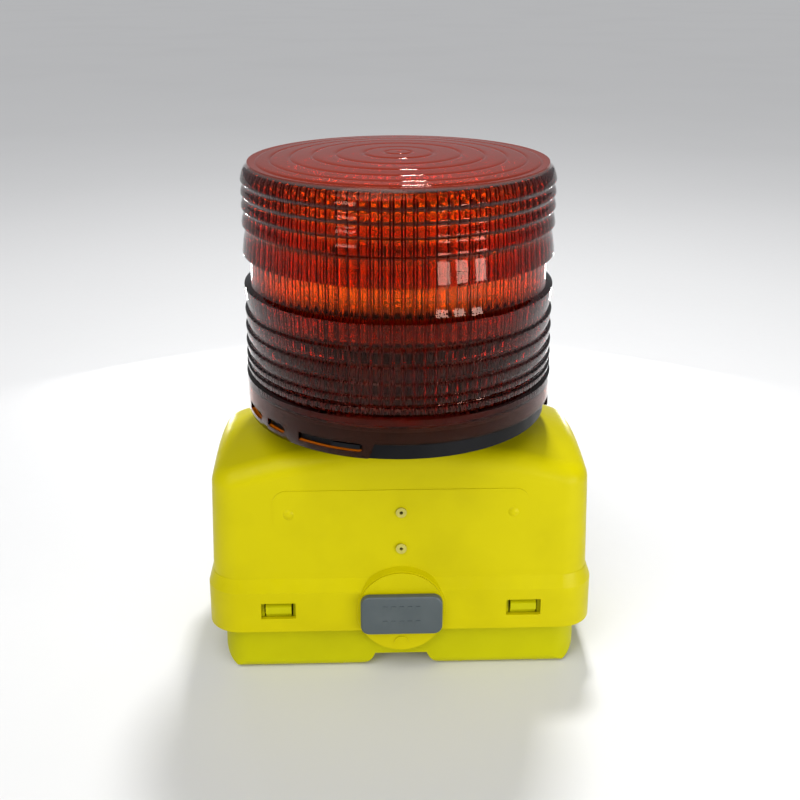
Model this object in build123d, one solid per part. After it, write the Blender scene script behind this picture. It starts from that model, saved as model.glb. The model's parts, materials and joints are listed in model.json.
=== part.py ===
from build123d import *
import math
import os

os.makedirs("parts", exist_ok=True)

# A barricade warning light: a round ribbed lens with a bayonet skirt turns on a black
# base ring, the ring is screwed to a moulded cover, and a two-cell battery tray plugs
# into the cover from below. One long bolt runs through the case and fastens the light
# to a board behind it.
# Everything is drawn with the lens axis as Z, and save() shifts it so that the origin is
# on the bolt's axis at the rear mounting face.

# ---- driving dimensions, mm ----------------------------------------------------------
BOLT_Z = 33.0                # height of the bolt's axis
REAR_FACE_Y = 50.5           # rear mounting face, behind the lens axis

# Cover
WALL = 2.5
COVER_HALF_X = 97.9          # outer half width and half depth of the walls at the band's top
COVER_HALF_Y = 46.8
COVER_CORNER = 15.0
COVER_DRAFT = 1.45           # degrees
CROWN_TOP = 127.5            # height of the crowned top at its middle
CROWN_RADIUS_X = 300.0       # crown seen from the front
CROWN_RADIUS_Y = 165.0       # crown seen from the side
SHOULDER = 11.0              # rounding between the crown and the walls
BAND_HALF_X = 100.3
BAND_HALF_Y = 49.0
BAND_CORNER = 17.0
BAND_BOTTOM = 21.5
BAND_TOP = 44.0
FLARE_TOP = 51.0             # top of the slope from the band to the walls
LEDGE_Z = 42.0               # the cavity is wider below this height, for the tray's lip
NECK_R = 44.0                # round pedestal under the lens base
BOSS_R = 22.4                # flat round boss around the bolt
BOSS_FOOT_R = 24.9
WIRE_HOLE_R = 10.0

# Windows in the band and the tray's latch lugs
WINDOW_X = 63.4
WINDOW_Z = 33.6
WINDOW_SIZE = (17.8, 9.0)
LUG_SIZE = (13.2, 5.2)

# Battery tray
TRAY_WALL = 2.3
TRAY_FOOT = -4.5             # underside of the pockets
TRAY_HALF_X = 92.9
TRAY_HALF_Y = 43.0
TRAY_CORNER = 13.0
TRAY_ROUND = 12.0            # rounding of the pockets' bottom corners
POCKET_INNER_X = 13.0        # each pocket starts this far from the middle
BRIDGE_Z = 3.6               # underside of the bridge between the pockets
LIP_Z = 24.0                 # the wider lip starts here
LIP_HALF_X = 97.2
LIP_HALF_Y = 45.9
LIP_TOP = 41.7
SLOT_HALF_WIDTH = 10.3       # slots in the lip that clear the bolt's tube

# Lantern batteries
BATTERY_SIDE = 66.7
BATTERY_X = 51.6
BATTERY_FOOT = 1.0           # the batteries stand on low ribs in the tray
BATTERY_BODY_TOP = 95.0
BATTERY_TOP_Z = 98.0
SPRING_TOP = 108.0

# Lens: height of each rib's crest above the tray's foot, from the top down
LENS_R = 79.0
LENS_NOTCH = 1.5             # depth of the grooves between ribs
SKIRT_TOP = 152.0
SKIRT_EDGE = 139.5
TAB_EDGE = 131.9
UPPER_RIBS = (251.7, 245.3, 238.4, 229.9, 215.3)
LOWER_RIBS = (197.9, 185.2, 176.6, 168.7, 162.0, 157.0)
DRUM_R = 75.3                # smooth drum between the upper and lower ribs
LENS_RIM = (75.8, 260.0)     # radius and height of the top disc's rim
LENS_CROWN = 263.5
LENS_INNER_R = 73.2
LENS_TOP_WALL = 3.0
SKIRT_INNER_R = 76.8
SEAT_Z = 147.3               # step inside the lens that rests over the gasket

# Bayonet: angles in degrees from the front (-Y), positive towards +X
TAB_ANGLES = (-100.0, -10.0)
SLOT_ANGLES = ((-40.0, -14.0), (-57.0, -47.0), (-75.0, -62.0))
LUG_ANGLES = (-25.5, -15.0)
SLOT_Z = (135.7, 139.0)
LUG_Z = (136.2, 138.4)

# Lens base
BASE_R = 76.3
BASE_BOTTOM = 131.2
BASE_FLOOR = 133.7
BASE_TOP = 145.0
BASE_WALL = 2.7
BASE_SCREW_RING = 38.0
BOARD_SCREW_RING = 26.0
WEB_TOP = 137.7              # stiffening webs on the base's floor
REFLECTOR = (33.0, 73.0, 0.6)  # inner and outer radius and thickness of the pale ring on the webs

# Electronics
BOARD_Z = 139.5
BOARD_THICKNESS = 1.6
BOARD_R = 31.0
LED_Z = 206.6                # focus of the lens's drum
CHIP_XY = (-15.0, 3.0)
PIN_PITCH = 2.54             # pitch of the chip's and the transistor's legs
RESISTOR_Y = 19.0
RESISTOR_PITCH = 3.6
LEAD_R = 0.8                 # insulated wires

# Contact board above the batteries
CONTACT_BOARD_Z = 109.0
CONTACT_BOARD_SIZE = (146.0, 50.0, 2.4)
CONTACT_SCREW_XY = (14.0, 20.0)

# Bolt
SHANK_R = 5.7                # the plain shank is thinner than the rolled thread
THREAD_R = 6.35
BOLT_HOLE_R = 6.7
THREAD_LENGTH = 50.0
TUBE_R = 9.5
BOLT_HEAD_R = 8.6            # steel head, sunk in the grip
BOLT_HEAD_DEPTH = 2.0
WASHER_R = 9.9
HEAD_SIZE = (42.0, 21.8)
HEAD_CORNER = 4.6
PIPS_PER_ROW = 5             # two rows of low grip pips on the head
PIP_PITCH = 4.2
PIP_ROW_Z = 4.2
PIP_SIZE = (2.3, 0.6, 3.0)
HEAD_BACK_Y = -51.3
HEAD_FRONT_Y = -54.6

# Rivets and the switch behind the front wall
RIVET_Z = (87.8, 67.7)
BUMP_X = 57.0
FIELD_SIZE = (130.0, 24.0)   # raised field on the front wall
FIELD_Z = 88.0
SWITCH_Z = 77.7


# ---- helpers -------------------------------------------------------------------------
def save(name, shape):
    """Writes one sub-part, moved so that the origin lies on the bolt's axis."""
    shape = Pos(0, -REAR_FACE_Y, -BOLT_Z) * shape
    shape.label = name
    export_step(shape, f"parts/{name}.step")
    print(name, len(shape.solids()), round(shape.volume))


def prism(half_x, half_y, radius, low, high, taper=0.0):
    """Upright block with rounded corners; taper in degrees narrows it upwards."""
    outline = Plane.XY.offset(low) * RectangleRounded(2 * half_x, 2 * half_y, radius)
    return extrude(outline, high - low, taper=taper)


def rod(x, y, low, high, radius):
    """Upright cylinder between two heights."""
    return Pos(x, y, (low + high) / 2) * Cylinder(radius, high - low)


def tube_z(outer, inner, low, high):
    """Upright tube on the lens axis."""
    return rod(0, 0, low, high, outer) - rod(0, 0, low - 1, high + 1, inner)


def rod_y(x, z, front, back, radius):
    """Cylinder along Y between two depths."""
    return Pos(x, (front + back) / 2, z) * Rot(90, 0, 0) * Cylinder(radius, back - front)


def box_between(low, high):
    """Block given by its two extreme corners."""
    size = [b - a for a, b in zip(low, high)]
    middle = [(a + b) / 2 for a, b in zip(low, high)]
    return Pos(*middle) * Box(*size)


def ring_sector(inner, outer, low, high, angles):
    """Part of a ring about the lens axis, between two angles from the front."""
    start, end = angles
    middle = Pos((inner + outer) / 2, (low + high) / 2)
    section = Plane.XZ * middle * Rectangle(outer - inner, high - low)
    return Rot(0, 0, start - 90) * revolve(section, Axis.Z, end - start)


def both_ways(shape):
    """The shape and its copy half a turn round the lens axis."""
    return [shape, Rot(0, 0, 180) * shape]


def around(shape, count, start=0.0):
    """Copies of the shape spread evenly round the lens axis."""
    return [Rot(0, 0, start + 360 * i / count) * shape for i in range(count)]


def wire(points, bend, radius):
    """Round wire along straight runs joined by arcs."""
    path = FilletPolyline(*points, radius=bend)
    section = Plane(origin=path @ 0, z_dir=path % 0) * Circle(radius)
    return sweep(section, path=path)


def fuse(shapes):
    """One body from a list of overlapping shapes."""
    body = shapes[0]
    for shape in shapes[1:]:
        body = body + shape
    return body


# ---- cover ---------------------------------------------------------------------------
def crown(inset):
    """Barrel whose top is the crowned top of the cover, lowered by inset."""
    top = CROWN_TOP - inset
    radius_x = CROWN_RADIUS_X - inset
    radius_y = CROWN_RADIUS_Y - inset
    reach = 60.0
    edge = top - radius_y + math.sqrt(radius_y**2 - reach**2)
    low = top - radius_x
    outline = Polyline((-reach, edge), (-reach, low), (reach, low), (reach, edge))
    arc = ThreePointArc((reach, edge), (0, top), (-reach, edge))
    section = Plane.YZ * make_face(outline + arc)
    return revolve(section, Axis((0, 0, low), (0, 1, 0)))


def walls(inset, low, shoulder):
    """Drafted block under the crown, with a rounded shoulder."""
    grow = (BAND_TOP - low) * math.tan(math.radians(COVER_DRAFT))
    block = prism(
        COVER_HALF_X - inset + grow, COVER_HALF_Y - inset + grow, COVER_CORNER - inset,
        low, CROWN_TOP + 5, COVER_DRAFT,
    )
    block = block & crown(inset)
    return fillet(block.faces().sort_by(Axis.Z)[-1].edges(), shoulder)


def round_boss(side):
    """Flat boss with a sloped foot around the bolt; side is -1 in front, 1 behind."""
    depth = REAR_FACE_Y - COVER_HALF_Y + 1.0
    cone = Rot(90 * -side, 0, 0) * Cone(BOSS_FOOT_R, BOSS_R + 0.6, depth)
    foot = Pos(0, side * (REAR_FACE_Y - 0.9 - depth / 2), BOLT_Z) * cone
    face_front, face_back = sorted((side * (BAND_HALF_Y - 2.2), side * REAR_FACE_Y))
    return foot + rod_y(0, BOLT_Z, face_front, face_back, BOSS_R)


def raised_field():
    """Shallow rounded field on the drafted front wall."""
    depth = COVER_HALF_Y - (FIELD_Z - BAND_TOP) * math.tan(math.radians(COVER_DRAFT))
    plate = extrude(RectangleRounded(*FIELD_SIZE, 7.0), 2.0)
    return Pos(0, -depth - 0.35, FIELD_Z) * Rot(90 - COVER_DRAFT, 0, 0) * Pos(0, 0, -2.0) * plate


def gate_mark():
    """Small raised arch low on the front boss."""
    arch = Circle(3.7) - Circle(2.8)
    arch = arch & Pos(0, 4) * Rectangle(9, 8)
    return Pos(0, -REAR_FACE_Y + 0.3, BOLT_Z - 18.0) * Rot(90, 0, 0) * extrude(arch, 0.7)


def windows():
    """Through windows in the band, front and back, with bevelled mouths."""
    width, height = WINDOW_SIZE
    cuts = []
    for x in (-WINDOW_X, WINDOW_X):
        for side in (-1, 1):
            cuts.append(Pos(x, side * BAND_HALF_Y, WINDOW_Z) * Box(width, 10, height))
    return cuts


def case_cover():
    outer = walls(0.0, BAND_TOP, SHOULDER)
    outer += prism(BAND_HALF_X, BAND_HALF_Y, BAND_CORNER, BAND_BOTTOM, BAND_TOP)
    flare = math.degrees(math.atan((BAND_HALF_X - COVER_HALF_X) / (FLARE_TOP - BAND_TOP)))
    outer += prism(BAND_HALF_X, BAND_HALF_Y, BAND_CORNER, BAND_TOP, FLARE_TOP, flare)
    outer += rod(0, 0, 110, BASE_BOTTOM, NECK_R)
    for side in (-1, 1):
        outer += round_boss(side)
    outer += raised_field()
    for x in (-BUMP_X, BUMP_X):
        outer += Pos(x, -42.6, FIELD_Z - 1) * Sphere(4.4)

    cavity = walls(WALL, LEDGE_Z - 0.5, SHOULDER - WALL)
    cavity += prism(
        BAND_HALF_X - WALL, BAND_HALF_Y - WALL, BAND_CORNER - WALL, 0, LEDGE_Z
    )
    cover = outer - cavity
    for x in (-CONTACT_SCREW_XY[0], CONTACT_SCREW_XY[0]):
        for y in (-CONTACT_SCREW_XY[1], CONTACT_SCREW_XY[1]):
            cover += rod(x, y, CONTACT_BOARD_Z + CONTACT_BOARD_SIZE[2], 124, 4.0)
            cover -= rod(x, y, CONTACT_BOARD_Z, 119, 1.6)
    cover -= rod(0, 0, 100, 140, WIRE_HOLE_R)
    for screw in around(rod(BASE_SCREW_RING, 0, 124.5, 140, 2.0), 4, 45):
        cover -= screw
    cover -= rod_y(0, BOLT_Z, -60, 60, BOLT_HOLE_R)
    for cut in windows():
        cover -= cut
    for z in RIVET_Z:
        cover -= rod_y(0, z, -50, -40, 1.75)
    return cover + gate_mark()


# ---- battery tray --------------------------------------------------------------------
def tray_block(inset, top):
    """The two rounded pockets up to a height, shrunk by inset on every face."""
    half_x = TRAY_HALF_X - inset
    half_y = TRAY_HALF_Y - inset
    rounding = TRAY_ROUND - inset
    inner = POCKET_INNER_X + inset
    width = half_x - inner
    height = 60.0
    middle = TRAY_FOOT + inset + height / 2
    front = Pos(inner + width / 2, middle) * RectangleRounded(width, height, rounding)
    pocket = extrude(Plane.XZ * front, 2 * half_y, both=True)
    side = Plane.YZ * Pos(0, middle) * RectangleRounded(2 * half_y, height, 5.0 - inset)
    pocket = pocket & extrude(side, 2 * half_x, both=True)
    pockets = pocket + pocket.mirror(Plane.YZ)
    return pockets & prism(half_x, half_y, TRAY_CORNER - inset, TRAY_FOOT - 1, top)


def battery_tray():
    outer = tray_block(0.0, LIP_Z + 0.5)
    reach = POCKET_INNER_X + TRAY_ROUND
    outer += box_between((-reach, -TRAY_HALF_Y, BRIDGE_Z), (reach, TRAY_HALF_Y, LIP_Z))
    outer += prism(LIP_HALF_X, LIP_HALF_Y, BAND_CORNER - WALL - 0.6, LIP_Z, LIP_TOP)
    hollow = tray_block(TRAY_WALL, LIP_Z + TRAY_WALL + 0.5)
    between = POCKET_INNER_X
    depth = TRAY_HALF_Y - TRAY_WALL
    hollow += box_between((-between, -depth, BRIDGE_Z + TRAY_WALL), (between, depth, LIP_TOP + 1))
    lip = prism(
        LIP_HALF_X - TRAY_WALL, LIP_HALF_Y - TRAY_WALL, BAND_CORNER - WALL - TRAY_WALL - 0.6,
        LIP_Z + TRAY_WALL, LIP_TOP + 1,
    )
    for x in (-1, 1):
        wall_x = x * (POCKET_INNER_X + TRAY_WALL / 2)
        lip -= Pos(wall_x, 0, LIP_Z + 10) * Box(TRAY_WALL, 2 * depth, 40)
    hollow += lip
    tray = outer - hollow
    for x in (-BATTERY_X, BATTERY_X):
        for y in (-18.0, 18.0):
            tray += box_between((x - 25, y - 1.5, TRAY_FOOT + 1.5), (x + 25, y + 1.5, BATTERY_FOOT))
        for offset in (-20.0, 20.0):
            for side in (-1, 1):
                inner_y = BATTERY_SIDE / 2 + 0.6
                low = (x + offset - 1, inner_y, TRAY_FOOT + 1.0)
                rib = box_between(low, (x + offset + 1, depth + 0.5, LIP_Z))
                tray += rib if side == 1 else rib.mirror(Plane.XZ)
    slot = box_between((-SLOT_HALF_WIDTH, -60, BOLT_Z), (SLOT_HALF_WIDTH, 60, LIP_TOP + 5))
    slot += rod_y(0, BOLT_Z, -60, 60, SLOT_HALF_WIDTH)
    tray -= slot
    for x in (-WINDOW_X, WINDOW_X):
        for side in (-1, 1):
            middle_y = side * (LIP_HALF_Y - TRAY_WALL / 2)
            gap = Box(LUG_SIZE[0] + 1.6, TRAY_WALL + 0.4, 2 * (LIP_TOP - LIP_Z - 2.6))
            tray -= Pos(x, middle_y, LIP_TOP) * gap
    return tray


def tray_latches():
    """Springy tongues standing in gaps in the tray's lip, each with a lug for a window."""
    tongues = []
    foot_z = LIP_Z + 2.6
    for x in (-WINDOW_X, WINDOW_X):
        for side in (-1, 1):
            inner, outer = LIP_HALF_Y - TRAY_WALL, LIP_HALF_Y
            half = LUG_SIZE[0] / 2
            tongue = box_between((x - half, inner, foot_z), (x + half, outer, LIP_TOP - 0.6))
            low = WINDOW_Z + 0.9 - LUG_SIZE[1] / 2
            profile = Polyline(
                (outer - 0.5, low), (BAND_HALF_Y - 0.6, low), (BAND_HALF_Y - 0.6, low + 3.6),
                (outer - 0.5, low + LUG_SIZE[1]), close=True,
            )
            lug = extrude(Plane.YZ.offset(x - half) * make_face(profile), LUG_SIZE[0])
            tongue = tongue + lug
            tongues.append(tongue if side == 1 else tongue.mirror(Plane.XZ))
    return Compound(tongues)


# ---- batteries -----------------------------------------------------------------------
def battery_jacket(x):
    half = BATTERY_SIDE / 2
    return Pos(x, 0, 0) * prism(half, half, 4.0, BATTERY_FOOT, BATTERY_BODY_TOP)


def battery_top(x):
    half = BATTERY_SIDE / 2
    cap = prism(half - 0.4, half - 0.4, 4.0, BATTERY_BODY_TOP, BATTERY_TOP_Z - 0.8)
    rim = prism(half - 1.4, half - 1.4, 3.5, BATTERY_TOP_Z - 0.8, BATTERY_TOP_Z)
    tray = prism(half - 3.4, half - 3.4, 3.0, BATTERY_TOP_Z - 0.8, BATTERY_TOP_Z + 1)
    return Pos(x, 0, 0) * (cap + rim - tray)


def spring(x, y):
    """Conical coil terminal, standing on the battery's top."""
    height = SPRING_TOP - BATTERY_TOP_Z - 1.0
    wire_r = 0.7
    path = Helix(pitch=height / 3.2, height=height, radius=6.5, cone_angle=-16)
    section = Plane(origin=path @ 0, z_dir=path % 0) * Circle(wire_r)
    return Pos(x, y, BATTERY_TOP_Z - 0.05) * sweep(section, path=path, is_frenet=True)


def battery_springs(x):
    return Compound([spring(x, 0), spring(x + 19.0, -19.0)])


# ---- lens ----------------------------------------------------------------------------
def upper_profile():
    """Outline points of the upper ribs, from the rim down: each rib widens downwards."""
    points = [LENS_RIM, (LENS_RIM[0] + 0.4, LENS_RIM[1] - 2.4)]
    above = points[-1][1]
    for crest in UPPER_RIBS:
        depth = LENS_NOTCH + 0.05 * (above - crest - 6)
        points.append((LENS_R - depth, above - 0.9))
        points.append((LENS_R, crest + 0.5))
        points.append((LENS_R, crest - 0.3))
        above = crest - 0.9
    return points


def lower_profile():
    """Outline points of the lower ribs, from the drum down: each rib narrows downwards."""
    points = []
    ends = list(LOWER_RIBS[1:]) + [SKIRT_TOP]
    for crest, below in zip(LOWER_RIBS, ends):
        depth = LENS_NOTCH + 0.05 * (crest - below - 6)
        points.append((LENS_R - 0.2, crest + 0.3))
        points.append((LENS_R - 0.2, crest - 0.5))
        points.append((LENS_R - depth, below + 1.0))
    return points


def lens_dome():
    outline = [(0, LENS_CROWN), (40.0, LENS_CROWN - 1.0)]
    outline += upper_profile()
    outline += [(DRUM_R, UPPER_RIBS[-1] - 1.6), (DRUM_R, LOWER_RIBS[0] + 1.6)]
    outline += lower_profile()
    outline += [(LENS_R + 0.2, SKIRT_TOP), (LENS_R - 0.2, SKIRT_EDGE), (SKIRT_INNER_R, SKIRT_EDGE)]
    outline += [(SKIRT_INNER_R, SEAT_Z), (LENS_INNER_R, SEAT_Z)]
    outline += [(LENS_INNER_R, LENS_RIM[1] - LENS_TOP_WALL - 1.5), (0, LENS_CROWN - LENS_TOP_WALL)]
    section = Plane.XZ * make_face(Polyline(*outline, close=True))
    lens = revolve(section, Axis.Z)
    tab = ring_sector(SKIRT_INNER_R, LENS_R - 0.2, TAB_EDGE, SKIRT_EDGE + 0.4, TAB_ANGLES)
    for one in both_ways(tab):
        lens += one
    for angles in SLOT_ANGLES:
        for cut in both_ways(ring_sector(SKIRT_INNER_R - 1, LENS_R + 1, *SLOT_Z, angles)):
            lens -= cut
    return lens


def lens_gasket():
    return tube_z(BASE_R, BASE_R - BASE_WALL, BASE_TOP, SEAT_Z - 0.3)


# ---- lens base -----------------------------------------------------------------------
def lens_base():
    base = rod(0, 0, BASE_BOTTOM, BASE_FLOOR, BASE_R)
    base += tube_z(BASE_R, BASE_R - BASE_WALL, BASE_BOTTOM, BASE_TOP)
    for lug in both_ways(ring_sector(BASE_R - 1, LENS_R - 0.5, *LUG_Z, LUG_ANGLES)):
        base += lug
    for standoff in around(rod(BOARD_SCREW_RING, 0, BASE_FLOOR - 0.5, BOARD_Z, 3.6), 4, 45):
        base += standoff
    base -= rod(0, 0, 120, 140, WIRE_HOLE_R)
    for hole in around(rod(BASE_SCREW_RING, 0, 120, 140, 2.3), 4, 45):
        base -= hole
    for pilot in around(rod(BOARD_SCREW_RING, 0, BASE_FLOOR, BOARD_Z + 1, 1.3), 4, 45):
        base -= pilot
    rib = box_between((BASE_SCREW_RING + 8, -1, BASE_FLOOR - 0.5), (BASE_R - 1, 1, WEB_TOP))
    for web in around(rib, 8, 22.5):
        base += web
    return base


def base_reflector():
    """Pale flat ring that lies on the webs and throws light up into the lens."""
    inner, outer, thickness = REFLECTOR
    return tube_z(outer, inner, WEB_TOP, WEB_TOP + thickness)


def screw_group(ring, tip, seat, shank_r, head_r, head_height):
    """Four pan-head screws on a circle, with cross recesses."""
    screw = rod(ring, 0, tip, seat, shank_r) + rod(ring, 0, seat, seat + head_height, head_r)
    recess_z = seat + head_height
    for size in ((head_r * 1.3, 0.8, 1.6), (0.8, head_r * 1.3, 1.6)):
        screw -= Pos(ring, 0, recess_z) * Box(*size)
    return Compound(around(screw, 4, 45))


# ---- electronics ---------------------------------------------------------------------
BOARD_TOP = BOARD_Z + BOARD_THICKNESS


def circuit_board():
    board = rod(0, 0, BOARD_Z, BOARD_TOP, BOARD_R)
    for hole in around(rod(BOARD_SCREW_RING, 0, 130, 150, 1.6), 4, 45):
        board -= hole
    for x in (-4.0, 4.0):
        board -= rod(x, 14.0, 130, 150, 1.0)
        board -= rod(x, -14.0, 130, 150, 1.0)
    return board


def led_post():
    """Tapered column that holds the light source at the lens's focus."""
    foot = rod(0, 0, BOARD_TOP, BOARD_TOP + 2.5, 9.0)
    shaft_height = LED_Z - 4.0 - (BOARD_TOP + 2.0)
    shaft = Pos(0, 0, BOARD_TOP + 2.0 + shaft_height / 2) * Cone(6.5, 5.0, shaft_height)
    return foot + shaft


def led_carrier():
    return rod(0, 0, LED_Z - 4.0, LED_Z - 2.4, 8.5)


def led_emitter():
    """Flat base with a clear dome."""
    low = LED_Z - 2.4
    dome = Sphere(4.0) & box_between((-5, -5, 0), (5, 5, 5))
    return rod(0, 0, low, low + 1.6, 4.8) + Pos(0, 0, low + 1.6) * dome


def photocell():
    """Ambient-light cell standing on the board."""
    disc = Pos(0, -21.0, BOARD_TOP + 5.0) * Rot(90, 0, 0) * Cylinder(2.6, 2.0)
    legs = [rod(x, -21.0, BOARD_TOP, BOARD_TOP + 3.6, 0.4) for x in (-1.3, 1.3)]
    return fuse([disc] + legs)


def flasher_chip():
    x, y = CHIP_XY
    pieces = [Pos(x, y, BOARD_TOP + 2.6) * Box(6.4, 9.8, 3.4)]
    shoulder = BOARD_TOP + 2.4
    for side in (-1, 1):
        pin_x = x + side * 3.6
        for i in range(4):
            pin_y = y + (i - 1.5) * PIN_PITCH
            low_y, high_y = pin_y - 0.4, pin_y + 0.4
            pieces.append(box_between((pin_x - 0.8, low_y, shoulder - 0.4), (pin_x + 0.4, high_y, shoulder)))
            pieces.append(box_between((pin_x - 0.15, low_y, BOARD_TOP), (pin_x + 0.15, high_y, shoulder)))
    return fuse(pieces)


def capacitor():
    can = rod(17.0, 6.0, BOARD_TOP, BOARD_TOP + 13.0, 4.2)
    return fillet(can.edges().sort_by(Axis.Z)[-1], 0.6)


def power_transistor():
    tab = Pos(14.0, -8.0, BOARD_TOP + 10.0) * Box(10.0, 1.3, 15.0)
    body = Pos(14.0, -9.9, BOARD_TOP + 7.0) * Box(10.0, 3.2, 9.0)
    legs = [Pos(14.0 + i * PIN_PITCH, -9.5, BOARD_TOP + 1.4) * Box(0.9, 0.6, 2.8) for i in (-1, 0, 1)]
    hole = rod_y(14.0, BOARD_TOP + 15.0, -12, -5, 1.8)
    return fuse([body, tab] + legs) - hole


def resistors():
    """Three axial resistors lying on the board."""
    items = []
    for i in range(3):
        y = RESISTOR_Y + RESISTOR_PITCH * i
        body = Pos(0, y, BOARD_TOP + 1.4) * Rot(0, 90, 0) * Cylinder(1.2, 6.4)
        lead = Pos(0, y, BOARD_TOP + 1.4) * Rot(0, 90, 0) * Cylinder(0.35, 10.0)
        legs = [rod(s * 4.9, y, BOARD_TOP, BOARD_TOP + 1.7, 0.35) for s in (-1, 1)]
        items.append(fuse([body, lead] + legs))
    return Compound(items)


# ---- contact board -------------------------------------------------------------------
def contact_board():
    width, depth, thickness = CONTACT_BOARD_SIZE
    board = prism(width / 2, depth / 2, 3.0, CONTACT_BOARD_Z, CONTACT_BOARD_Z + thickness)
    for x in (-CONTACT_SCREW_XY[0], CONTACT_SCREW_XY[0]):
        for y in (-CONTACT_SCREW_XY[1], CONTACT_SCREW_XY[1]):
            board -= rod(x, y, 100, 120, 1.8)
    for x in (-6.0, 6.0):
        board -= rod(x, 0, 100, 120, 1.0)
    return board


def contact_plates():
    """Pads over each battery's two terminals; the long one joins the batteries in series."""
    low, high = CONTACT_BOARD_Z - 0.6, CONTACT_BOARD_Z
    pads = []
    for x in (-BATTERY_X, BATTERY_X):
        pads.append(box_between((x - 9, -8, low), (x + 9, 14, high)))
    left_corner = -BATTERY_X + 19.0
    right_corner = BATTERY_X + 19.0
    pads.append(box_between((left_corner - 8, -24.5, low), (left_corner + 8, -11, high)))
    pads.append(box_between((right_corner - 16, -24.5, low), (right_corner + 2, -11, high)))
    return Compound(pads)


def contact_screws():
    screws = []
    seat = CONTACT_BOARD_Z
    for x in (-CONTACT_SCREW_XY[0], CONTACT_SCREW_XY[0]):
        for y in (-CONTACT_SCREW_XY[1], CONTACT_SCREW_XY[1]):
            screw = rod(x, y, seat - 1.8, seat, 3.0) + rod(x, y, seat, 118.5, 1.5)
            screw -= Pos(x, y, seat - 1.8) * Box(4.2, 0.8, 1.6)
            screws.append(screw)
    return Compound(screws)


# ---- bolt ----------------------------------------------------------------------------
def bolt_tube():
    """Spacer tube that keeps the bolt from crushing the case."""
    half = 43.6
    return rod_y(0, BOLT_Z, -half, half, TUBE_R) - rod_y(0, BOLT_Z, -60, 60, BOLT_HOLE_R)


def mounting_bolt():
    seat_y = HEAD_BACK_Y + 0.5
    shank = rod_y(0, BOLT_Z, seat_y, REAR_FACE_Y, SHANK_R)
    head = rod_y(0, BOLT_Z, HEAD_BACK_Y - BOLT_HEAD_DEPTH, seat_y, BOLT_HEAD_R)
    thread = rod_y(0, BOLT_Z, REAR_FACE_Y, REAR_FACE_Y + THREAD_LENGTH, THREAD_R)
    thread = chamfer(thread.edges().sort_by(Axis.Y)[-1], 1.0)
    return head + shank + thread


def bolt_head_cap():
    """Grey rectangular grip moulded over the bolt's head."""
    outline = Plane.XZ * RectangleRounded(*HEAD_SIZE, HEAD_CORNER)
    block = Pos(0, HEAD_BACK_Y, BOLT_Z) * extrude(outline, HEAD_BACK_Y - HEAD_FRONT_Y)
    block = fillet(block.faces().sort_by(Axis.Y)[0].edges(), 1.2)
    block -= rod_y(0, BOLT_Z, HEAD_BACK_Y - BOLT_HEAD_DEPTH, HEAD_BACK_Y + 1, BOLT_HEAD_R)
    for side in (-1, 1):
        for step in range(PIPS_PER_ROW):
            x = (step - (PIPS_PER_ROW - 1) / 2) * PIP_PITCH
            block += Pos(x, HEAD_FRONT_Y, BOLT_Z + side * PIP_ROW_Z) * Box(*PIP_SIZE)
    return block


def head_washer():
    ring = rod_y(0, BOLT_Z, HEAD_BACK_Y, -REAR_FACE_Y - 0.3, WASHER_R)
    return ring - rod_y(0, BOLT_Z, -60, -40, BOLT_HEAD_R + 0.1)


# ---- switch --------------------------------------------------------------------------
def cover_rivets():
    """Hollow rivets through the front wall and the switch bracket."""
    rivets = []
    slope = math.tan(math.radians(COVER_DRAFT))
    for z in RIVET_Z:
        face = -(COVER_HALF_Y - (z - BAND_TOP) * slope) - 0.6
        rivet = rod_y(0, z, face - 0.7, face, 2.7) + rod_y(0, z, face, -40.6, 1.6)
        rivet += rod_y(0, z, -41.0, -40.2, 2.5)
        rivets.append(rivet - rod_y(0, z, -60, -30, 0.9))
    return Compound(rivets)


def switch_bracket():
    plate = box_between((-8, -42.3, SWITCH_Z - 17), (8, -41.0, SWITCH_Z + 17))
    for z in RIVET_Z:
        plate -= rod_y(0, z, -60, -30, 1.7)
    shelf = box_between((-8, -42.3, SWITCH_Z - 17), (8, -27.0, SWITCH_Z - 15.6))
    return plate + shelf


def switch_body():
    body = box_between((-6, -39.5, SWITCH_Z - 15.6), (6, -29.5, SWITCH_Z + 7))
    slot = box_between((-2.4, -31.5, SWITCH_Z - 10.0), (2.4, -29.0, SWITCH_Z + 2.0))
    return body - slot


def switch_slider():
    foot = box_between((-2.0, -31.2, SWITCH_Z - 9.6), (2.0, -29.8, SWITCH_Z - 3.8))
    knob = box_between((-2.0, -30.0, SWITCH_Z - 8.6), (2.0, -26.5, SWITCH_Z - 4.8))
    return foot + knob


# ---- leads ---------------------------------------------------------------------------
def supply_leads():
    """Two wires from the contact board up to the circuit board."""
    top = CONTACT_BOARD_Z + CONTACT_BOARD_SIZE[2]
    leads = []
    for x in (-4.0, 4.0):
        points = [(1.5 * x, 0, top - 1.0), (1.5 * x, 0, top + 8), (x, 4.5, top + 16), (x, 5.0, 133),
                  (x, 14.0, 136.5), (x, 14.0, BOARD_Z + 1.0)]
        leads.append(wire(points, 1.5, LEAD_R))
    return Compound(leads)


def switch_leads():
    """Two wires from the switch up to the circuit board."""
    leads = []
    for x in (-4.0, 4.0):
        points = [(x, -33.0, SWITCH_Z + 7), (x, -33.0, 104), (x, -30.0, 113), (x, -8.0, 117.5),
                  (x, -7.0, 134.8), (x, -14.0, 136.8), (x, -14.0, BOARD_Z + 1.0)]
        leads.append(wire(points, 1.5, LEAD_R))
    return Compound(leads)


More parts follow.
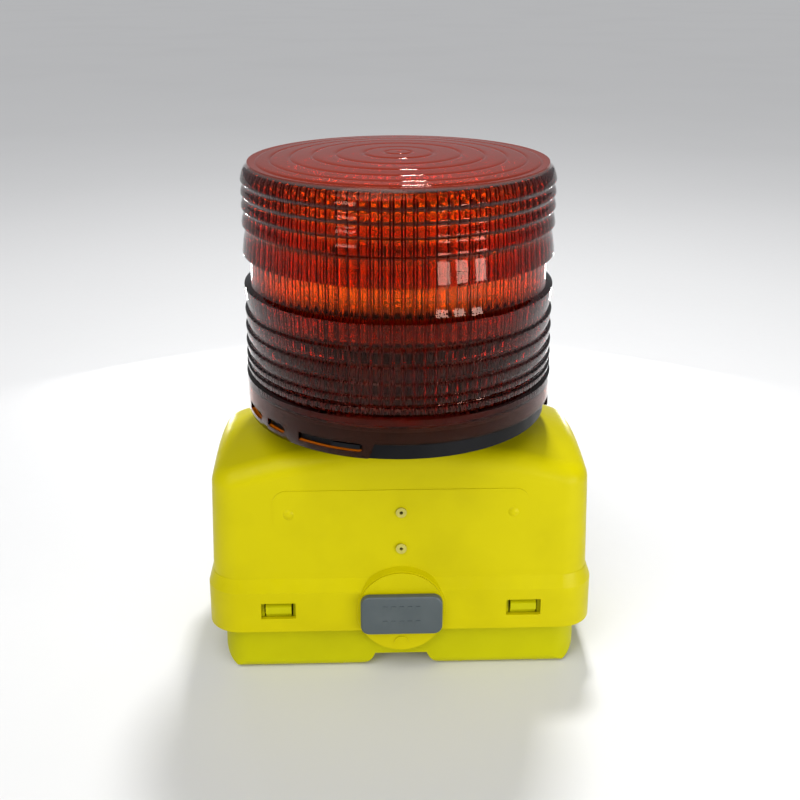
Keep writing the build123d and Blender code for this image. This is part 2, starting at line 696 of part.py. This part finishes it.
# ---- write every sub-part ------------------------------------------------------------
save("case_cover", case_cover())
save("battery_tray", battery_tray())
save("tray_latches", tray_latches())
for side_name, side_x in (("left", -BATTERY_X), ("right", BATTERY_X)):
    save(f"battery_{side_name}", battery_jacket(side_x))
    save(f"battery_{side_name}_top", battery_top(side_x))
    save(f"battery_{side_name}_springs", battery_springs(side_x))
save("lens_dome", lens_dome())
save("lens_gasket", lens_gasket())
save("lens_base", lens_base())
save("base_reflector", base_reflector())
save("base_screws", screw_group(BASE_SCREW_RING, 125.0, BASE_FLOOR, 1.9, 4.0, 2.4))
save("circuit_board", circuit_board())
save("board_screws", screw_group(BOARD_SCREW_RING, BOARD_Z - 5, BOARD_TOP, 1.2, 2.6, 1.8))
save("led_post", led_post())
save("led_carrier", led_carrier())
save("led_emitter", led_emitter())
save("photocell", photocell())
save("flasher_chip", flasher_chip())
save("capacitor", capacitor())
save("power_transistor", power_transistor())
save("resistors", resistors())
save("contact_board", contact_board())
save("contact_plates", contact_plates())
save("contact_screws", contact_screws())
save("bolt_tube", bolt_tube())
save("mounting_bolt", mounting_bolt())
save("bolt_head_cap", bolt_head_cap())
save("head_washer", head_washer())
save("cover_rivets", cover_rivets())
save("switch_bracket", switch_bracket())
save("switch_body", switch_body())
save("switch_slider", switch_slider())
save("supply_leads", supply_leads())
save("switch_leads", switch_leads())
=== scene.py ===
import json
import math

import bmesh
import bpy
import numpy as np
from mathutils import Matrix, Vector


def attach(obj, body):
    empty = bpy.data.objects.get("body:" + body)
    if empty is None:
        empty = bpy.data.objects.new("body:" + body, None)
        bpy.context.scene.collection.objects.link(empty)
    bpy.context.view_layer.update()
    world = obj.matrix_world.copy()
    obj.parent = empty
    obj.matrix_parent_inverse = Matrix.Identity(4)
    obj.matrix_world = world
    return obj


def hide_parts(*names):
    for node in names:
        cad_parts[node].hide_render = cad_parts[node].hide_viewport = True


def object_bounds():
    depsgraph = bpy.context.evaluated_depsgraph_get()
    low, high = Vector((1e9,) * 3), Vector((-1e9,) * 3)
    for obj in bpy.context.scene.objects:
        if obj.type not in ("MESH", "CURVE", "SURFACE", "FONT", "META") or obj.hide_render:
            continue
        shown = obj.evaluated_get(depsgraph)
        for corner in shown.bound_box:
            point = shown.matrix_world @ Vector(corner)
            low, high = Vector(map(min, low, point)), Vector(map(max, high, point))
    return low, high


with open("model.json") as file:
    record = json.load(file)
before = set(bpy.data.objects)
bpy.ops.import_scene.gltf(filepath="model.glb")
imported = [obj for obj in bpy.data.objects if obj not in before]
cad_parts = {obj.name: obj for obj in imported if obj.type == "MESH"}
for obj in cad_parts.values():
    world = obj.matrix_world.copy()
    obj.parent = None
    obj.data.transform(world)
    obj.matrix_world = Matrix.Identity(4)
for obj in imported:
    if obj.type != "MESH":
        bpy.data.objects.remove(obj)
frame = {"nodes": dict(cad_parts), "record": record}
cad_low, cad_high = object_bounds()
nodes = frame["nodes"]

# ---- the lens is drawn in mm from its own axis and zero; the row frame is in metres -----
MM = 0.001
AXIS_Y = -0.0505              # the lens axis stands this far in front of the rear face
BOLT_Z_MM = 33.0              # height of the bolt's axis in the lens drawing
RIM = (75.8, 260.0)           # radius and height of the lens's top rim in that drawing


def height(z_mm):
    """Height in the row frame of a height in the lens drawing."""
    return (z_mm - BOLT_Z_MM) * MM


# ---- materials -----------------------------------------------------------------------
GRAIN = 900.0                 # features per metre of the fine surface grain
GRAIN_DEPTH = 0.00004
GLOSS_PATCH = 140.0           # features per metre of the uneven gloss
WEAR = (0.45, 0.75)           # part of the patch noise over which the worn colour comes in
LENS_IOR = 1.45
LENS_SHEEN = (0.55, 0.3, 0.24)
LENS_ABSORPTION = (0.912, 0.768, 0.0)
LENS_DENSITY = 2500.0         # absorption per metre of plastic
DISC_RED = (0.64, 0.07, 0.03)
DISC_CLARITY = 0.7            # the matt underside of the top disc scatters part of the light


def new_material(name):
    material = bpy.data.materials.new(name)
    material.use_nodes = True
    tree = material.node_tree
    return material, tree, tree.nodes["Principled BSDF"]


def add(tree, kind, **settings):
    node = tree.nodes.new(kind)
    for key, value in settings.items():
        setattr(node, key, value)
    return node


def noise(tree, scale, detail=4.0, stretch=(1, 1, 1)):
    """Noise in the object's own coordinates; scale is in features per metre."""
    coords = add(tree, "ShaderNodeTexCoord")
    mapping = add(tree, "ShaderNodeMapping")
    mapping.inputs["Scale"].default_value = stretch
    texture = add(tree, "ShaderNodeTexNoise")
    texture.inputs["Scale"].default_value = scale
    texture.inputs["Detail"].default_value = detail
    tree.links.new(coords.outputs["Object"], mapping.inputs["Vector"])
    tree.links.new(mapping.outputs["Vector"], texture.inputs["Vector"])
    return texture.outputs["Fac"]


def spread(tree, source, low, high, start=0.3, end=0.7):
    """Source remapped from start..end to low..high."""
    node = add(tree, "ShaderNodeMapRange")
    node.inputs["From Min"].default_value = start
    node.inputs["From Max"].default_value = end
    node.inputs["To Min"].default_value = low
    node.inputs["To Max"].default_value = high
    tree.links.new(source, node.inputs["Value"])
    return node.outputs["Result"]


def blend_colours(tree, factor, first, second):
    node = add(tree, "ShaderNodeMix", data_type="RGBA")
    for socket, colour in ((node.inputs[6], first), (node.inputs[7], second)):
        if isinstance(colour, tuple):
            socket.default_value = (*colour, 1.0)
        else:
            tree.links.new(colour, socket)
    tree.links.new(factor, node.inputs[0])
    return node.outputs[2]


def bump(tree, shader, source, distance, strength=0.3):
    node = add(tree, "ShaderNodeBump")
    node.inputs["Strength"].default_value = strength
    node.inputs["Distance"].default_value = distance
    tree.links.new(source, node.inputs["Height"])
    tree.links.new(node.outputs["Normal"], shader.inputs["Normal"])


def surface(name, colour, worn, roughness, metallic=0.0, patch=28.0, specular=0.5, stretch=(1, 1, 1)):
    """Solid finish: slow colour patches, wear, uneven roughness and a fine surface grain."""
    material, tree, shader = new_material(name)
    patches = spread(tree, noise(tree, patch, 5.0), 0.0, 1.0, *WEAR)
    tree.links.new(blend_colours(tree, patches, colour, worn), shader.inputs["Base Color"])
    gloss = spread(tree, noise(tree, GLOSS_PATCH, 6.0, stretch), roughness - 0.06, roughness + 0.1)
    tree.links.new(gloss, shader.inputs["Roughness"])
    bump(tree, shader, noise(tree, GRAIN, 3.0, stretch), GRAIN_DEPTH)
    shader.inputs["Metallic"].default_value = metallic
    shader.inputs["Specular IOR Level"].default_value = specular
    return material


def lens_material():
    """Translucent plastic that is orange where thin and deep red where thick."""
    material, tree, shader = new_material("lens_red")
    shader.inputs["IOR"].default_value = LENS_IOR
    shader.inputs["Specular Tint"].default_value = (*LENS_SHEEN, 1.0)
    tint = spread(tree, noise(tree, 35.0, 4.0), 0.0, 1.0)
    wall = blend_colours(tree, tint, (0.97, 0.93, 0.9), (0.9, 0.84, 0.8))
    coords = add(tree, "ShaderNodeTexCoord")
    split = add(tree, "ShaderNodeSeparateXYZ")
    tree.links.new(coords.outputs["Object"], split.inputs["Vector"])
    disc = spread(tree, split.outputs["Z"], 0.0, 1.0, height(RIM[1] - 2.2), height(RIM[1] - 0.2))
    tree.links.new(blend_colours(tree, disc, wall, DISC_RED), shader.inputs["Base Color"])
    tree.links.new(spread(tree, disc, 1.0, DISC_CLARITY, 0.0, 1.0), shader.inputs["Transmission Weight"])
    gloss = spread(tree, noise(tree, 220.0, 6.0), 0.01, 0.04)
    tree.links.new(gloss, shader.inputs["Roughness"])
    bump(tree, shader, noise(tree, 500.0, 3.0), 0.00002, 0.15)
    absorb = add(tree, "ShaderNodeVolumeAbsorption")
    absorb.inputs["Color"].default_value = (*LENS_ABSORPTION, 1.0)
    absorb.inputs["Density"].default_value = LENS_DENSITY
    tree.links.new(absorb.outputs["Volume"], tree.nodes["Material Output"].inputs["Volume"])
    return material


def clear_material(name, colour, roughness):
    material, tree, shader = new_material(name)
    shader.inputs["Transmission Weight"].default_value = 1.0
    shader.inputs["IOR"].default_value = 1.5
    tint = spread(tree, noise(tree, 200.0), 0.0, 1.0)
    pale = tuple(min(1.0, c * 1.1) for c in colour)
    tree.links.new(blend_colours(tree, tint, colour, pale), shader.inputs["Base Color"])
    gloss = spread(tree, noise(tree, 300.0), roughness, roughness + 0.06)
    tree.links.new(gloss, shader.inputs["Roughness"])
    return material


def banded_material(name, colour, bands, scale):
    """Lacquered part with coloured bands across its length."""
    material, tree, shader = new_material(name)
    wave = add(tree, "ShaderNodeTexWave")
    wave.inputs["Scale"].default_value = scale
    coords = add(tree, "ShaderNodeTexCoord")
    tree.links.new(coords.outputs["Object"], wave.inputs["Vector"])
    edges = spread(tree, wave.outputs["Fac"], 0.0, 1.0, 0.62, 0.68)
    tree.links.new(blend_colours(tree, edges, colour, bands), shader.inputs["Base Color"])
    tree.links.new(spread(tree, noise(tree, 400.0), 0.25, 0.4), shader.inputs["Roughness"])
    return material


MATERIALS = {
    "cover_plastic": surface("cover_yellow", (0.55, 0.48, 0.0), (0.495, 0.43, 0.0), 0.36, specular=0.1),
    "tray_plastic": surface("tray_yellow", (0.485, 0.465, 0.0), (0.44, 0.42, 0.0), 0.42, specular=0.1),
    "lens_plastic": lens_material(),
    "gasket_rubber": surface("rubber_black", (0.018, 0.018, 0.018), (0.035, 0.034, 0.032), 0.7),
    "base_plastic": surface(
        "base_black", (0.003, 0.003, 0.004), (0.006, 0.006, 0.007), 0.35, specular=0.12
    ),
    "reflector_plastic": surface("reflector_white", (0.8, 0.79, 0.75), (0.68, 0.66, 0.6), 0.4),
    "screw_steel": surface("screw_zinc", (0.55, 0.55, 0.56), (0.42, 0.41, 0.40), 0.32, 1.0),
    "board_laminate": surface("board_green", (0.012, 0.09, 0.035), (0.02, 0.12, 0.05), 0.45, patch=120.0),
    "post_plastic": surface("post_grey", (0.03, 0.03, 0.033), (0.05, 0.05, 0.052), 0.45),
    "led_clear": clear_material("led_amber", (0.95, 0.75, 0.4), 0.05),
    "cell_ceramic": banded_material("cell_orange", (0.62, 0.32, 0.12), (0.75, 0.7, 0.6), 700.0),
    "chip_plastic": surface("chip_black", (0.012, 0.012, 0.012), (0.03, 0.03, 0.03), 0.5),
    "capacitor_sleeve": surface("sleeve_blue", (0.01, 0.03, 0.16), (0.015, 0.04, 0.2), 0.3),
    "resistor_coat": banded_material("resistor_tan", (0.6, 0.42, 0.22), (0.25, 0.05, 0.02), 420.0),
    "contact_laminate": surface("laminate_brown", (0.16, 0.07, 0.025), (0.22, 0.1, 0.04), 0.5, patch=60.0),
    "contact_metal": surface("contact_brass", (0.78, 0.6, 0.28), (0.5, 0.36, 0.17), 0.3, 1.0),
    "tube_steel": surface(
        "tube_zinc", (0.52, 0.52, 0.54), (0.38, 0.38, 0.39), 0.35, 1.0, stretch=(1, 12, 1)
    ),
    "bolt_steel": surface("bolt_zinc", (0.5, 0.49, 0.47), (0.36, 0.35, 0.33), 0.34, 1.0),
    "grip_plastic": surface("grip_slate", (0.065, 0.082, 0.088), (0.09, 0.108, 0.113), 0.42),
    "rivet_brass": surface("rivet_tinted", (0.6, 0.55, 0.12), (0.42, 0.36, 0.06), 0.38, 0.6),
    "slider_plastic": surface("slider_red", (0.5, 0.012, 0.008), (0.58, 0.03, 0.02), 0.4),
    "wire_red": surface("wire_red", (0.4, 0.008, 0.006), (0.48, 0.02, 0.015), 0.35),
    "wire_black": surface("wire_black", (0.012, 0.012, 0.012), (0.03, 0.03, 0.03), 0.35),
    "battery_jacket": surface("jacket_blue", (0.02, 0.045, 0.12), (0.035, 0.065, 0.16), 0.3),
    "battery_cap": surface("cap_black", (0.01, 0.01, 0.011), (0.025, 0.025, 0.026), 0.45),
    "spring_steel": surface("spring_tin", (0.6, 0.6, 0.6), (0.45, 0.44, 0.43), 0.3, 1.0),
}


def dress_nodes():
    """Every CAD node gets its slot's material."""
    for part in frame["record"]["subparts"]:
        mesh = nodes[part["node"]].data
        mesh.materials.clear()
        mesh.materials.append(MATERIALS[part["material_slot"]])


# ---- lens, in mm from its axis and above the lens drawing's zero ----------------------
SEGMENTS = 1440
FLUTES = 90
FLUTE_SWING = 0.55            # half the depth of the wavy inner wall
RIDGE_SWING = 0.4             # the same for the ridge between two flutes
LENS_R = 79.0
NOTCH = 1.5                   # how far a usual rib's foot stands in from its crest
USUAL_RISE = 6.0              # the height of such a rib
DEEPENING = 0.05              # taller ribs stand in deeper by this share of their extra height
RIB_BULGE = 0.35              # share of that depth which is left near a rib's middle
RIB_GAP = 0.9                 # from an upper crest down to the next rib's foot
CREST_FLAT = (0.5, 0.3)       # how far a crest's flat reaches on its rib's side and beyond
LOWER_CREST_R = LENS_R - 0.2
DRUM_R = 75.3
INNER_R = 73.2
FLUTE_CREST_R = 72.6          # the flutes stand in from the plain inner wall
SKIRT_INNER_R = 76.8
SEAT_Z = 147.3
SKIRT_TOP = 152.0
SKIRT_R = LENS_R + 0.15       # the skirt is widest at its top
SKIRT_EDGE = 139.5
TAB_EDGE = 131.9
CROWN_Z = 263.5
CROWN_EDGE = (40.0, 262.5)
TOP_WALL = 1.8
UPPER_RIBS = (251.7, 245.3, 238.4, 229.9, 215.3)
LOWER_RIBS = (197.9, 185.2, 176.6, 168.7, 162.0, 157.0)
DISC_RINGS = (6.4, 17.0, 31.0, 43.0, 54.0, 64.0, 71.5)
RING_DEPTH = 0.55
RING_STEPS = 10               # points across each zone between two grooves
GROOVE_POWER = 9              # a higher power makes the grooves narrower


def rib_depth(rise):
    """How far a rib of this height stands in at its foot."""
    return NOTCH + DEEPENING * (rise - USUAL_RISE)


def upper_outline():
    """Upper ribs from the rim down: each widens downwards and turns under at its crest."""
    points = [(RIM[0] - 0.5, RIM[1]), (RIM[0] + 0.4, RIM[1] - 2.4)]
    above = points[-1][1]
    for crest in UPPER_RIBS:
        depth = rib_depth(above - crest)
        points.append((LENS_R - depth, above - RIB_GAP))
        points.append((LENS_R - RIB_BULGE * depth, crest + 0.45 * (above - crest)))
        points.append((LENS_R, crest + CREST_FLAT[0]))
        points.append((LENS_R, crest - CREST_FLAT[1]))
        above = crest - RIB_GAP
    return points


def lower_outline():
    """Lower ribs from the drum down: each crests at its top and narrows downwards."""
    points = []
    ends = list(LOWER_RIBS[1:]) + [SKIRT_TOP]
    for crest, below in zip(LOWER_RIBS, ends):
        depth = rib_depth(crest - below)
        points.append((LOWER_CREST_R, crest + CREST_FLAT[1]))
        points.append((LOWER_CREST_R, crest - CREST_FLAT[0]))
        points.append((LOWER_CREST_R - RIB_BULGE * depth, crest - 0.55 * (crest - below)))
        points.append((LENS_R - depth, below + 1.0))
    return points


def soften(points):
    """Cuts each corner off at a share of its two sides."""
    share = 0.18
    rest = 1 - share
    cut = [points[0]]
    for (r0, z0), (r1, z1) in zip(points, points[1:]):
        cut.append((rest * r0 + share * r1, rest * z0 + share * z1))
        cut.append((share * r0 + rest * r1, share * z0 + rest * z1))
    cut.append(points[-1])
    return cut


def disc_height(radius):
    """Crown of the top disc without its rings."""
    if radius < CROWN_EDGE[0]:
        return CROWN_Z + (CROWN_EDGE[1] - CROWN_Z) * radius / CROWN_EDGE[0]
    share = (radius - CROWN_EDGE[0]) / (RIM[0] - CROWN_EDGE[0])
    return CROWN_EDGE[1] + (RIM[1] - CROWN_EDGE[1]) * share


def disc_outline():
    """The top disc from its middle out: rounded zones with a groove between each two."""
    points = []
    edges = (0.0,) + DISC_RINGS
    for inner, outer in zip(edges, edges[1:]):
        for i in range(RING_STEPS):
            share = 0.5 - 0.5 * math.cos(math.pi * i / RING_STEPS)
            radius = inner + (outer - inner) * share
            dip = RING_DEPTH * abs(2 * share - 1) ** GROOVE_POWER if radius > 0 else 0.0
            points.append((radius, disc_height(radius) - dip))
    points.append((DISC_RINGS[-1], disc_height(DISC_RINGS[-1]) - RING_DEPTH))
    return points


def flute_offset(index):
    """How far the inner wall stands back from a flute's crest."""
    turn = 2 * math.pi * index * FLUTES / SEGMENTS
    return FLUTE_SWING * (1 - math.cos(turn)) + RIDGE_SWING * (1 - math.cos(2 * turn))


def circle_points():
    turns = 2 * math.pi / SEGMENTS
    return [(math.sin(i * turns), -math.cos(i * turns)) for i in range(SEGMENTS)]


def revolve_rows(rows, closed_start, closed_end):
    """Vertices and faces of rows of (radius, height, flute share) turned round the axis."""
    circle = circle_points()
    vertices, faces = [], []
    for radius, z, share in rows:
        for i, (cx, cy) in enumerate(circle):
            r = (radius + share * flute_offset(i)) * MM
            vertices.append((r * cx, AXIS_Y + r * cy, height(z)))
    for row in range(len(rows) - 1):
        for i in range(SEGMENTS):
            j = (i + 1) % SEGMENTS
            a, b = row * SEGMENTS, (row + 1) * SEGMENTS
            faces.append((a + i, a + j, b + j, b + i))
    for close, row, order in ((closed_start, 0, 1), (closed_end, len(rows) - 1, -1)):
        if close is not None:
            centre = len(vertices)
            vertices.append((0, AXIS_Y, height(close)))
            for i in range(SEGMENTS):
                j = (i + 1) % SEGMENTS
                face = (row * SEGMENTS + j, row * SEGMENTS + i, centre)
                faces.append(face if order == 1 else face[::-1])
    return vertices, faces


def mesh_object(name, vertices, faces):
    mesh = bpy.data.meshes.new(name)
    mesh.from_pydata(vertices, [], faces)
    mesh.update()
    obj = bpy.data.objects.new(name, mesh)
    bpy.context.scene.collection.objects.link(obj)
    return obj


def lens_shell():
    """Ribbed outside, fluted inside, open at the skirt's top where the skirt joins on."""
    drum = [(DRUM_R, UPPER_RIBS[-1] - 1.6), (DRUM_R, LOWER_RIBS[0] + 1.6)]
    outline = disc_outline() + soften(upper_outline()) + soften(drum + lower_outline())
    outline.append((SKIRT_R, SKIRT_TOP))
    outer = [(r, z, 0.0) for r, z in outline if r > 0]
    inner_top = RIM[1] - TOP_WALL - 1.0
    inner = [
        (INNER_R, SKIRT_TOP, 0.0),
        (FLUTE_CREST_R + 0.3, SKIRT_TOP + 1.0, 0.5),
        (FLUTE_CREST_R, SKIRT_TOP + 2.0, 1.0),
    ]
    inner += [(FLUTE_CREST_R, z, 1.0) for z in np.linspace(SKIRT_TOP + 20, inner_top - 1.5, 5)]
    inner.append((FLUTE_CREST_R - 0.6, inner_top - 0.2, 0.6))
    inner.append((FLUTE_CREST_R - 1.6, inner_top + 0.4, 0.0))
    inner += [(r, disc_height(r) - TOP_WALL, 0.0) for r in (60.0, 40.0, 20.0, 6.0)]
    outer_part = revolve_rows(outer, CROWN_Z, None)
    inner_part = revolve_rows(inner, None, CROWN_Z - TOP_WALL)
    return outer_part, inner_part


def sector(name, inner, outer, low, high, low_angles, high_angles):
    """Closed block around the lens axis whose ends may lean; angles are from the front."""
    steps = max(2, int(abs(low_angles[1] - low_angles[0]) / 2))
    vertices, faces = [], []
    for i in range(steps + 1):
        for z, (start, end) in ((low, low_angles), (high, high_angles)):
            angle = math.radians(start + (end - start) * i / steps)
            for radius in (inner, outer):
                x, y = radius * MM * math.sin(angle), -radius * MM * math.cos(angle)
                vertices.append((x, AXIS_Y + y, height(z)))
    for i in range(steps):
        a, b = 4 * i, 4 * i + 4
        for p, q in ((0, 1), (1, 3), (3, 2), (2, 0)):
            faces.append((a + p, a + q, b + q, b + p))
    faces.append((0, 2, 3, 1))
    last = 4 * steps
    faces.append((last, last + 1, last + 3, last + 2))
    obj = mesh_object(name, vertices, faces)
    face_out(obj)
    return obj


def face_out(obj):
    mesh = bmesh.new()
    mesh.from_mesh(obj.data)
    bmesh.ops.recalc_face_normals(mesh, faces=mesh.faces)
    mesh.to_mesh(obj.data)
    mesh.free()


CUT_REACH = (74.0, 82.0)      # the cutting tools pass right through the skirt


def peg(angle, z, radius):
    """Radial pin at an angle, for the round end of a slot."""
    depth = (CUT_REACH[1] - CUT_REACH[0]) * MM
    bpy.ops.mesh.primitive_cylinder_add(radius=radius * MM, depth=depth, vertices=32)
    obj = bpy.context.object
    turn = math.radians(angle)
    middle = sum(CUT_REACH) / 2 * MM
    obj.matrix_world = (
        Matrix.Translation((0, AXIS_Y, height(z))) @ Matrix.Rotation(turn, 4, "Z")
        @ Matrix.Translation((0, -middle, 0)) @ Matrix.Rotation(math.pi / 2, 4, "X")
    )
    bpy.context.view_layer.update()
    obj.data.transform(obj.matrix_world)
    obj.matrix_world = Matrix.Identity(4)
    return obj


def cut_away(target, tools):
    """Cuts each tool out of the target and removes the tools."""
    for tool in tools:
        modifier = target.modifiers.new("cut", "BOOLEAN")
        modifier.operation = "DIFFERENCE"
        modifier.solver = "EXACT"
        modifier.object = tool
        bpy.context.view_layer.objects.active = target
        bpy.ops.object.modifier_apply(modifier=modifier.name)
        bpy.data.objects.remove(tool)


TAB_ANGLES = (-100.1, -10.1)
TAB_LEAN = -2.6               # the tab's right end leans back this much at its edge
SLOTS = ((-39.1, -15.3), (-56.6, -47.6), (-74.6, -62.6))
SLOT_Z = (135.3, 139.3)
PEG_INSET = (0.1, 0.06)       # degrees and mm, so that no two cutting faces coincide


def lens_skirt():
    """Plain ring below the ribs with two hanging tabs and the bayonet slots in them."""
    rows = [
        (INNER_R, SKIRT_TOP), (INNER_R, SEAT_Z), (SKIRT_INNER_R, SEAT_Z), (SKIRT_INNER_R, TAB_EDGE),
        (LENS_R - 0.5, TAB_EDGE), (LOWER_CREST_R, TAB_EDGE + 0.4), (LOWER_CREST_R, SKIRT_EDGE),
        (SKIRT_R, SKIRT_TOP),
    ]
    vertices, faces = revolve_rows([(r, z, 0.0) for r, z in rows], None, None)
    top = (len(rows) - 1) * SEGMENTS
    for i in range(SEGMENTS):
        j = (i + 1) % SEGMENTS
        faces.append((top + i, top + j, j, i))
    skirt = mesh_object("skirt", vertices, faces)
    face_out(skirt)
    cuts = []
    gap = (TAB_ANGLES[1], TAB_ANGLES[0] + 180)
    middle = (SLOT_Z[0] + SLOT_Z[1]) / 2
    half = (SLOT_Z[1] - SLOT_Z[0]) / 2
    for side in (0, 180):
        low = (gap[0] + TAB_LEAN + side, gap[1] + side)
        high = (gap[0] + side, gap[1] + side)
        cuts.append(sector("gap", *CUT_REACH, TAB_EDGE - 2.0, SKIRT_EDGE, low, high))
        for start, end in SLOTS:
            ends = (start + side, end + side)
            cuts.append(sector("slot", *CUT_REACH, *SLOT_Z, ends, ends))
            cuts.append(peg(end + side - PEG_INSET[0], middle, half - PEG_INSET[1]))
    cut_away(skirt, cuts)
    return skirt


def drop_top_cap(skirt):
    """Removes the skirt's flat top, where the ribbed shell continues it."""
    mesh = bmesh.new()
    mesh.from_mesh(skirt.data)
    top = height(SKIRT_TOP) - MERGE_GAP
    cap = [f for f in mesh.faces if all(v.co.z > top for v in f.verts)]
    bmesh.ops.delete(mesh, geom=cap, context="FACES")
    mesh.to_mesh(skirt.data)
    mesh.free()


MERGE_GAP = 2e-6              # metres; the shell and the skirt meet within this
SHARP_ANGLE = 38.0            # degrees; edges that turn less are shaded smooth


def build_lens():
    """The shell and the skirt merged into one closed mesh that stands for the CAD lens."""
    (outer_v, outer_f), (inner_v, inner_f) = lens_shell()
    skirt = lens_skirt()
    drop_top_cap(skirt)
    shell_v = outer_v + inner_v
    shell_f = outer_f + [tuple(i + len(outer_v) for i in f) for f in inner_f]
    base = len(shell_v)
    shell_v += [tuple(v.co) for v in skirt.data.vertices]
    shell_f += [tuple(i + base for i in p.vertices) for p in skirt.data.polygons]
    bpy.data.objects.remove(skirt)
    lens = mesh_object("lens", shell_v, shell_f)
    mesh = bmesh.new()
    mesh.from_mesh(lens.data)
    bmesh.ops.remove_doubles(mesh, verts=mesh.verts, dist=MERGE_GAP)
    bmesh.ops.recalc_face_normals(mesh, faces=mesh.faces)
    mesh.to_mesh(lens.data)
    mesh.free()
    lens.data.polygons.foreach_set("use_smooth", [True] * len(lens.data.polygons))
    lens.data.set_sharp_from_angle(angle=math.radians(SHARP_ANGLE))
    lens.data.materials.append(MATERIALS["lens_plastic"])
    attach(lens, "lens")
    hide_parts("lens_dome")


# ---- floor, light and camera ---------------------------------------------------------
FLOOR_R = 40.0
FLOOR_GAP = 0.0002            # the floor lies this far below the tray
SKY_STRENGTH = 0.25
SUN_STRENGTH = 1.75
SUN_SPREAD = 50.0             # degrees across, for soft shadows
SUN_TURN = (38.0, 0.0, -25.0)
LIGHT_TARGET = (0.0, AXIS_Y, 0.1)
CAMERA_DISTANCE = 0.5538      # from the lens axis, level
CAMERA_Z = 0.3226
CAMERA_PITCH = 17.0           # degrees below the horizon
CAMERA_AZIMUTH = -1.8
CAMERA_LENS = 50.2
CAMERA_SHIFT = (0.002, -0.126)


def build_floor():
    place = (0, 0, cad_low.z - FLOOR_GAP)
    bpy.ops.mesh.primitive_circle_add(vertices=128, radius=FLOOR_R, fill_type="NGON", location=place)
    floor = bpy.context.object
    floor.name = "floor"
    pale = surface("floor_pale", (0.74, 0.74, 0.74), (0.72, 0.72, 0.72), 0.6, patch=2.0)
    floor.data.materials.append(pale)


def area_light(name, position, size, power):
    """Rectangular lamp that faces the light; sizes are in metres and power in watts."""
    data = bpy.data.lights.new(name, "AREA")
    data.shape = "RECTANGLE"
    data.size, data.size_y = size
    data.energy = power
    light = bpy.data.objects.new(name, data)
    light.location = position
    light.rotation_mode = "QUATERNION"
    light.rotation_quaternion = (Vector(LIGHT_TARGET) - Vector(position)).to_track_quat("-Z", "Y")
    light.visible_camera = False
    bpy.context.scene.collection.objects.link(light)


def around_axis(azimuth, distance, z):
    """Point round the lens axis; 0 degrees is in front and 90 to the right."""
    turn = math.radians(azimuth)
    return (math.sin(turn) * distance, AXIS_Y - math.cos(turn) * distance, z)


def build_lights():
    world = bpy.data.worlds.new("studio")
    world.use_nodes = True
    background = world.node_tree.nodes["Background"]
    background.inputs["Color"].default_value = (0.93, 0.95, 1.0, 1.0)
    background.inputs["Strength"].default_value = SKY_STRENGTH
    bpy.context.scene.world = world
    sun = bpy.data.lights.new("sky", "SUN")
    sun.energy = SUN_STRENGTH
    sun.angle = math.radians(SUN_SPREAD)
    sun_object = bpy.data.objects.new("sky", sun)
    sun_object.rotation_euler = [math.radians(angle) for angle in SUN_TURN]
    bpy.context.scene.collection.objects.link(sun_object)
    for name, azimuth in (("window_a", 29), ("window_b", 42), ("window_c", 56)):
        area_light(name, around_axis(azimuth, 1.15, 0.14), size=(0.17, 0.22), power=2.0)
    area_light("window_left", around_axis(-38, 1.2, 0.5), size=(0.3, 0.16), power=1.5)
    for name, azimuth in (("rear_a", 150), ("rear_b", 178), ("rear_c", 207)):
        area_light(name, around_axis(azimuth, 0.5, 0.03), size=(0.02, 0.06), power=0.2)
    area_light("rear_top", (0.1, 0.35, 1.2), size=(0.14, 0.14), power=11.0)


def build_camera():
    data = bpy.data.cameras.new("camera")
    camera = bpy.data.objects.new("camera", data)
    turn = math.radians(CAMERA_AZIMUTH)
    camera.location = around_axis(CAMERA_AZIMUTH, CAMERA_DISTANCE, CAMERA_Z)
    camera.rotation_euler = (math.radians(90 - CAMERA_PITCH), 0, turn)
    data.sensor_width = 36.0
    data.lens = CAMERA_LENS
    data.shift_x, data.shift_y = CAMERA_SHIFT
    data.clip_start, data.clip_end = 0.01, 100.0
    bpy.context.scene.collection.objects.link(camera)
    bpy.context.scene.camera = camera


dress_nodes()
build_lens()
build_floor()
build_lights()
build_camera()
bpy.context.scene.view_settings.view_transform = "Standard"
